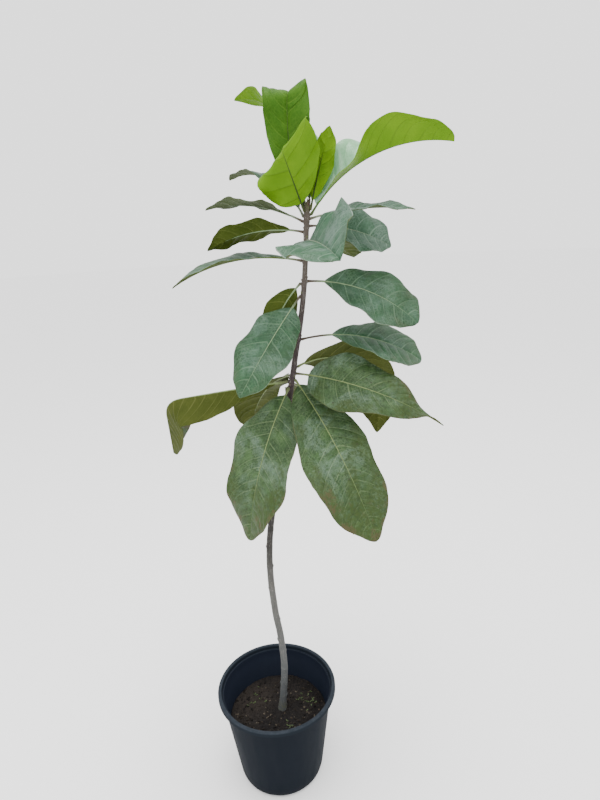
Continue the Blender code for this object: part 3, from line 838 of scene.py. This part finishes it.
def blade_mesh(bm, leaf, rib):
    """Makes the blade from a flat grid: sets its outline, fold, wave and vein relief."""
    pitches = max(FEWEST_PITCHES, round(leaf.length * MM / VEIN_PITCH))
    across_cells = 2 * max(FEWEST_CELLS, round(leaf.width * MM / CELL_ACROSS / 2))
    rows = pitches * ROWS_PER_VEIN
    along_layer = bm.verts.layers.float.new("vein_place")
    across_layer = bm.verts.layers.float.new("across")
    tip_layer = bm.verts.layers.float.new("tipward")
    fold = math.radians(leaf.fold)
    skew = math.tan(math.radians(leaf.skew))
    slant = math.tan(math.radians(leaf.slant))
    width = leaf.width * MM
    lead = min(MOST_LEAD, VEIN_LEAD * leaf.width / leaf.length)
    seed = Vector((leaf.height, leaf.bearing, 0)) * 0.13
    grid = bmesh.ops.create_grid(bm, x_segments=rows, y_segments=across_cells, size=1)
    for vert in grid["verts"]:
        v = vert.co.y
        reach = abs(v)
        row = round((vert.co.x + 1) / 2 * rows)
        crowded, from_vein = vein_rows(row, v)
        settle = smooth_step(reach / 0.10)
        pitch_place = row / ROWS_PER_VEIN
        if 0 < row < rows:
            pitch_place += (crowded - pitch_place) * settle
        n = min(max(pitch_place / pitches, 0.0), 1.0)
        s = n + lead * (0.60 * reach + 0.40 * reach ** 3) * math.sin(math.pi * n)
        jitter = noise.noise(seed + Vector((n * pitches * 0.9, 3 if v < 0 else 8, 0)))
        s += VEIN_JITTER / pitches * settle * math.sin(math.pi * n) * jitter
        share = half_width_share(s, leaf)
        share *= (1 - TIP_DRAWN_IN * smooth_step((s - 0.86) / 0.10)) * (1 - leaf.lop * v)
        half = max(share * width / 2, LEAST_HALF)
        run = (leaf.stalk + leaf.length * s) * MM + v * half * slant
        bend_run = min(max(run + v * half * skew, 0.0), rib.total)
        place, across, up, forward = rib.at(bend_run)
        uneven = 1 + MARGIN_LUMPS * noise.noise(seed + Vector((s * 8, v * 0.4, 4)))
        uneven += MARGIN_NICKS * noise.noise(seed + Vector((s * 24, v * 0.4, 9)))
        fade = min(1.0, 6 * s * (1.02 - s))
        offset = HALF_OFFSET if v < 0 else 0
        ripple = math.sin(2 * math.pi * MARGIN_WAVES * s + leaf.phase + offset)
        lift = half * (reach * math.sin(fold) - CURL * reach ** 2)
        lift += leaf.wave * width * reach ** 2 * ripple * fade
        lift += SWAY * fade * reach * noise.noise(seed + Vector((s * 5, v * 1.6, 0)))
        lift += RUFFLE * fade * reach ** 3 * noise.noise(seed + Vector((s * 15, v * 1.6, 7)))
        swell = math.sin(math.pi * from_vein) ** 2
        swell *= 0.25 + 0.75 * smooth_step((1 - reach) / 0.25)
        dip = math.exp(-(from_vein / VEIN_HALF) ** 2) * (1 - 0.55 * reach)
        lift += fade * smooth_step(reach / 0.12) * (QUILT * swell - VEIN_DIP * dip)
        lift -= RIB_DIP * (1 - smooth_step(reach * half / RIB_DIP_HALF))
        lift += BLADE_THICK / 2
        vert.co = (place + across * (v * half * uneven * math.cos(fold)) + up * lift
                   + forward * (run - bend_run))
        vert[along_layer] = n * pitches
        vert[across_layer] = v
        vert[tip_layer] = s


def thickened(bm):
    """Gives an open blade its underside and its rim."""
    bm.normal_update()
    rim = [edge.link_loops[0] for edge in bm.edges if edge.is_boundary]
    rim = [(loop.link_loop_next.vert, loop.vert) for loop in rim]
    copied = bmesh.ops.duplicate(bm, geom=bm.verts[:] + bm.edges[:] + bm.faces[:])
    below = copied["vert_map"]
    under = [part for part in copied["geom"] if isinstance(part, bmesh.types.BMFace)]
    for vert in {vert for face in under for vert in face.verts}:
        vert.co -= vert.normal * BLADE_THICK
    bmesh.ops.reverse_faces(bm, faces=under)
    for first, second in rim:
        under.append(bm.faces.new((first, second, below[second], below[first])))
    for face in under:
        face.material_index = UNDERSIDE


def stalk_mesh(bm, leaf, rib):
    """Stalk and midrib: one tapering cord, swollen at the stem and sunk in the blade."""
    across_layer = bm.verts.layers.float["across"]
    tip_layer = bm.verts.layers.float["tipward"]
    grid = wrapped_grid(bm, STALK_SIDES, STALK_ROWS)
    scale = 0.8 + 0.2 * leaf.length / LONG_BLADE
    if leaf.look in YOUNG_LOOKS:
        scale *= 0.95
    for vert, turn, share in grid:
        run = share * (leaf.stalk + RIB_END * leaf.length) * MM
        place, across, up, forward = rib.at(run)
        s = (run / MM - leaf.stalk) / leaf.length
        if s < 0:
            radius = STALK_GIRTH + STALK_SWELL * math.exp(-(run / SWELL_REACH) ** 2)
        else:
            radius = RIB_GIRTH - RIB_TAPER * s ** 0.6
        radius *= scale
        if share in (0.0, 1.0):
            radius = 0
        sunk = (RIB_SUNK * radius + RIB_DROP) * smooth_step(s / 0.05)
        place = place - forward * ROOT_IN * max(0.0, 1 - run / ROOT_REACH)
        vert.co = (place + across * radius * math.cos(turn)
                   + up * (radius * math.sin(turn) - sunk))
        vert[across_layer] = 0
        vert[tip_layer] = s
    closed_tube(bm, [vert for vert, _, _ in grid])
    for face in bm.faces:
        if all(vert[across_layer] == 0 for vert in face.verts):
            face.material_index = RIB


def from_half(paint, value):
    """How far a value is from the middle between two whole numbers."""
    return paint.math("ABSOLUTE", paint.math("SUBTRACT", paint.math("FRACT", value), 0.5))


def veined(paint, colour, vein, line, net, width=0.045):
    """Adds the side veins and the fine net between them to a blade's colour."""
    across = paint.attribute("across")
    reach = paint.math("ABSOLUTE", across)
    offset = paint.times(paint.math("LESS_THAN", across, 0.0), 0.5)
    run = paint.plus(paint.attribute("vein_place"), offset)
    from_vein = from_half(paint, paint.plus(run, 0.5))
    wide = paint.step(reach, 0.0, 1.0, width, 0.35 * width)
    side_vein = paint.step(paint.math("DIVIDE", from_vein, wide), 0.5, 1.6, 1.0, 0.0)
    side_vein = paint.times(side_vein, paint.step(paint.cloud(34, 2), 0.30, 0.62, 0.35, 1.0))
    between = from_half(paint, paint.plus(paint.times(run, 4.0), paint.cloud(60, 3)))
    fine_vein = paint.step(between, 0.05, 0.16, 0.75, 0.0)
    mesh_net = paint.step(paint.cells(270, "DISTANCE_TO_EDGE"), 0.03, 0.14, 0.7, 0.0)
    patchy = paint.step(paint.cloud(52, 4, 0.7), 0.38, 0.62, 0.15, 1.0)
    mesh_net = paint.times(paint.math("MAXIMUM", mesh_net, fine_vein), patchy)
    colour = paint.blend(paint.times(mesh_net, net), colour, vein)
    colour = paint.blend(paint.times(side_vein, line), colour, vein)
    return colour, side_vein, mesh_net, reach


def aged(paint, colour, reach, tipward, wear, edge):
    """Adds the marks of age: olive patches, speckle, rust, spots and a dry margin."""
    outer = paint.plus(paint.step(reach, 0.30, 1.0, 0.0, 0.10),
                       paint.step(tipward, 0.30, 1.0, 0.0, 0.20))
    patch = paint.plus(paint.cloud(15, 5, 0.62, distortion=0.8), outer)
    olive = paint.step(patch, 0.52, 0.74, 0.0, 0.85 * wear)
    olive = paint.times(olive, paint.step(paint.cloud(210, 4, 0.7), 0.34, 0.58, 0.35, 1.0))
    colour = paint.blend(olive, colour, OLIVE_TONE)
    speckle = paint.step(paint.cloud(170, 5, 0.78), 0.50, 0.64, 0.0, 0.60 * wear)
    colour = paint.blend(speckle, colour, SPECKLE_TONE)
    rust = paint.plus(paint.cloud(58, 6, 0.74), outer)
    colour = paint.blend(paint.step(rust, 0.71, 0.86, 0.0, 0.75 * wear), colour, RUST_TONE)
    spots = paint.step(paint.cells(95), 0.06, 0.15, 0.8 * wear, 0.0)
    spots = paint.times(spots, paint.step(paint.cloud(20, 2), 0.48, 0.62))
    colour = paint.blend(spots, colour, SPOT_TONE)
    rim = paint.step(reach, 0.965, 1.0, 0.0, 0.6)
    rim = paint.times(rim, paint.step(paint.cloud(18, 3), 0.40, 0.56))
    return paint.blend(rim, colour, edge)


def upper_face(name, deep, light, vein, film_tone=FILM_TONE, dust=0.0, wear=0.0, edge=None,
               roughness=0.50, specular=0.22):
    """Upper side of a blade: leathery, with paler veins, a film of dust and the marks of age."""
    paint = Finish(name + "_upper", roughness, specular)
    colour = paint.blend(paint.step(paint.cloud(30, 3), 0.34, 0.68), deep, light)
    shade = paint.step(paint.cloud(30, 6, 0.72, distortion=0.7), 0.46, 0.60, 0.0, 0.90)
    colour = paint.blend(shade, colour, deep)
    fleck = paint.step(paint.cloud(300, 4, 0.7), 0.38, 0.66, 0.0, 0.50)
    colour = paint.blend(fleck, colour, light)
    colour, side_vein, net, reach = veined(paint, colour, vein, line=0.60, net=0.42)
    film = paint.cloud(17, 6, 0.70, distortion=0.8)
    film = paint.step(film, 0.43, 0.62, 0.08 * dust, dust)
    film = paint.times(film, paint.step(paint.cloud(640, 3, 0.7), 0.30, 0.62, 0.35, 1.0))
    film = paint.times(film, paint.plus(paint.times(net, 0.35), 0.70))
    tipward = paint.attribute("tipward")
    film = paint.times(film, paint.step(tipward, 0.45, 0.95, 1.0, 0.45))
    colour = paint.blend(film, colour, film_tone)
    if wear:
        colour = aged(paint, colour, reach, tipward, wear, edge)
    gloss = paint.plus(paint.times(film, 0.30), roughness)
    ridge = paint.math("SUBTRACT", paint.times(net, -0.5), paint.times(side_vein, 0.6))
    return paint.finish(colour, gloss, paint.bump(ridge, 0.25 * MM, 0.7))


def under_face(name, deep, light, vein, roughness, line=0.70):
    """Underside of a blade: paler, dull, with raised veins."""
    paint = Finish(name + "_under", roughness, specular=0.06)
    colour = paint.blend(paint.step(paint.cloud(28, 4), 0.34, 0.66), deep, light)
    colour, side_vein, net, _ = veined(paint, colour, vein, line, net=0.4 * line, width=0.055)
    ridge = paint.plus(paint.times(net, 0.5), side_vein)
    return paint.finish(colour, None, paint.bump(ridge, 0.30 * MM, 0.8))


def rib_skin(name, stalk, rib, tip):
    """Skin of a stalk, browner at the stem, that turns to the rib colour where it becomes the
    midrib.

    The rib colour is pale, except on the young leaves, where it is dark as painted shadow.
    """
    paint = Finish(name + "_rib", roughness=0.55, specular=0.2)
    tipward = paint.attribute("tipward")
    colour = paint.blend(paint.step(tipward, -0.12, 0.03), stalk, rib)
    colour = paint.blend(paint.step(tipward, 0.30, 0.95), colour, tip)
    colour = paint.blend(paint.step(paint.cloud(180, 3), 0.45, 0.70, 0.0, 0.35), colour, stalk)
    return paint.finish(colour, None, paint.bump(paint.cloud(500, 4), 0.15 * MM, 0.6))


# Underside of the young and fresh leaves: their own lime green, brightened as painted light shining
# through the thin blades, with veins darker than the blade as painted shadow in that light.
YOUNG_UNDER_WITH_PAINTED_GLOW = {"deep": (0.080, 0.180, 0.0035), "light": (0.105, 0.215, 0.005),
               "vein": (0.060, 0.120, 0.008), "roughness": 0.48, "line": 0.40}
LOOKS = {
    "old": (
        upper_face("old", deep=(0.010, 0.030, 0.006), light=(0.035, 0.078, 0.020),
                   vein=(0.115, 0.165, 0.070), film_tone=(0.185, 0.265, 0.215), dust=0.46,
                   wear=1.0, edge=(0.075, 0.070, 0.030)),
        under_face("old", deep=(0.033, 0.044, 0.0065), light=(0.048, 0.059, 0.0105),
                   vein=(0.080, 0.090, 0.024), roughness=0.66),
        rib_skin("old", stalk=(0.052, 0.036, 0.025), rib=(0.150, 0.200, 0.075),
                 tip=(0.050, 0.086, 0.026)),
    ),
    "mature": (
        upper_face("mature", deep=(0.007, 0.034, 0.012), light=(0.021, 0.072, 0.029),
                   vein=(0.095, 0.170, 0.095), film_tone=(0.165, 0.255, 0.205), dust=0.44,
                   wear=0.25, edge=(0.190, 0.260, 0.190), roughness=0.46),
        under_face("mature", deep=(0.028, 0.044, 0.0045), light=(0.044, 0.061, 0.0075),
                   vein=(0.085, 0.105, 0.024), roughness=0.64),
        rib_skin("mature", stalk=(0.052, 0.038, 0.026), rib=(0.160, 0.230, 0.120),
                 tip=(0.090, 0.160, 0.085)),
    ),
    "dusty": (
        upper_face("dusty", deep=(0.011, 0.050, 0.020), light=(0.036, 0.098, 0.052),
                   vein=(0.140, 0.220, 0.155), film_tone=(0.200, 0.250, 0.230), dust=0.58,
                   wear=0.10, edge=(0.250, 0.300, 0.260)),
        under_face("dusty", deep=(0.045, 0.062, 0.022), light=(0.068, 0.090, 0.040),
                   vein=(0.120, 0.140, 0.070), roughness=0.60),
        rib_skin("dusty", stalk=(0.056, 0.042, 0.030), rib=(0.180, 0.230, 0.150),
                 tip=(0.110, 0.170, 0.110)),
    ),
    "young": (
        upper_face("young", deep=(0.025, 0.080, 0.004), light=(0.045, 0.116, 0.008),
                   vein=(0.070, 0.145, 0.014), specular=0.08),
        under_face("young", **YOUNG_UNDER_WITH_PAINTED_GLOW),
        # the young midrib is painted dark as the shadow it makes in the light shining through the
        # blade
        rib_skin("young", stalk=(0.045, 0.050, 0.014), rib=(0.022, 0.042, 0.006),
                 tip=(0.045, 0.090, 0.008)),
    ),
    "fresh": (
        # the pale teal upper colour is partly the fresh leaves' own tint and partly painted sheen,
        # raised towards their glossy highlights
        upper_face("fresh", deep=(0.120, 0.290, 0.140), light=(0.190, 0.390, 0.210),
                   vein=(0.250, 0.450, 0.260), dust=0.10, roughness=0.24, specular=0.6),
        under_face("fresh", **YOUNG_UNDER_WITH_PAINTED_GLOW),
        rib_skin("fresh", stalk=(0.045, 0.050, 0.014), rib=(0.060, 0.110, 0.030),
                 tip=(0.060, 0.120, 0.010)),
    ),
}


def leaf_piece(leaf):
    rib = Midrib(leaf)
    bm = bmesh.new()
    blade_mesh(bm, leaf, rib)
    thickened(bm)
    stalk_mesh(bm, leaf, rib)
    made(leaf.name + "_blade", bm, LOOKS[leaf.look], [leaf.name], sharp=55)


for each in LEAVES:
    leaf_piece(each)

# Studio: a plain pale floor, one broad soft light overhead with a softer one from the camera's
# side, and the camera where the photograph was taken, level with the crown and looking down.
CAMERA_PLACE = Vector((0.065, -0.781, 0.920))
CAMERA_PITCH = 17.5          # degrees down from level
CAMERA_ROLL = -3.0
LENS = 25.65
SENSOR = 36.0
FLOOR_RADIUS = 14
FLOOR_TONE = (0.965, 0.965, 0.965)
SKY_TONE = (1.0, 1.0, 1.0, 1.0)
SKY_STRENGTH = 2.0


def floor():
    bm = bmesh.new()
    bmesh.ops.create_circle(bm, cap_ends=True, segments=96, radius=FLOOR_RADIUS)
    mesh = bpy.data.meshes.new("floor")
    bm.to_mesh(mesh)
    bm.free()
    paint = Finish("floor_paper", roughness=0.9, specular=0.1)
    mesh.materials.append(paint.finish(FLOOR_TONE))
    placed("floor", mesh)


def soft_light(name, size, power, place, target):
    data = bpy.data.lights.new(name, "AREA")
    data.shape = "DISK"
    data.size = size
    data.energy = power
    lamp = placed(name, data)
    lamp.location = place
    lamp.rotation_euler = (Vector(target) - Vector(place)).to_track_quat("-Z", "Y").to_euler()


def camera():
    data = bpy.data.cameras.new("camera")
    data.lens = LENS
    data.sensor_width = SENSOR
    data.clip_start = 0.01
    seen = placed("camera", data)
    seen.matrix_world = (Matrix.Translation(CAMERA_PLACE)
                         @ Matrix.Rotation(math.radians(90 - CAMERA_PITCH), 4, "X")
                         @ Matrix.Rotation(math.radians(CAMERA_ROLL), 4, "Z"))
    bpy.context.scene.camera = seen


def sky():
    world = bpy.data.worlds.new("studio")
    world.use_nodes = True
    light = world.node_tree.nodes["Background"]
    light.inputs["Color"].default_value = SKY_TONE
    light.inputs["Strength"].default_value = SKY_STRENGTH
    bpy.context.scene.world = world


floor()
soft_light("overhead", size=1.8, power=50, place=(0.1, -0.2, 2.6), target=(0.05, 0.0, 0.6))
soft_light("front", size=1.4, power=14, place=(-0.3, -2.4, 1.5), target=(0.05, 0.0, 0.5))
camera()
sky()
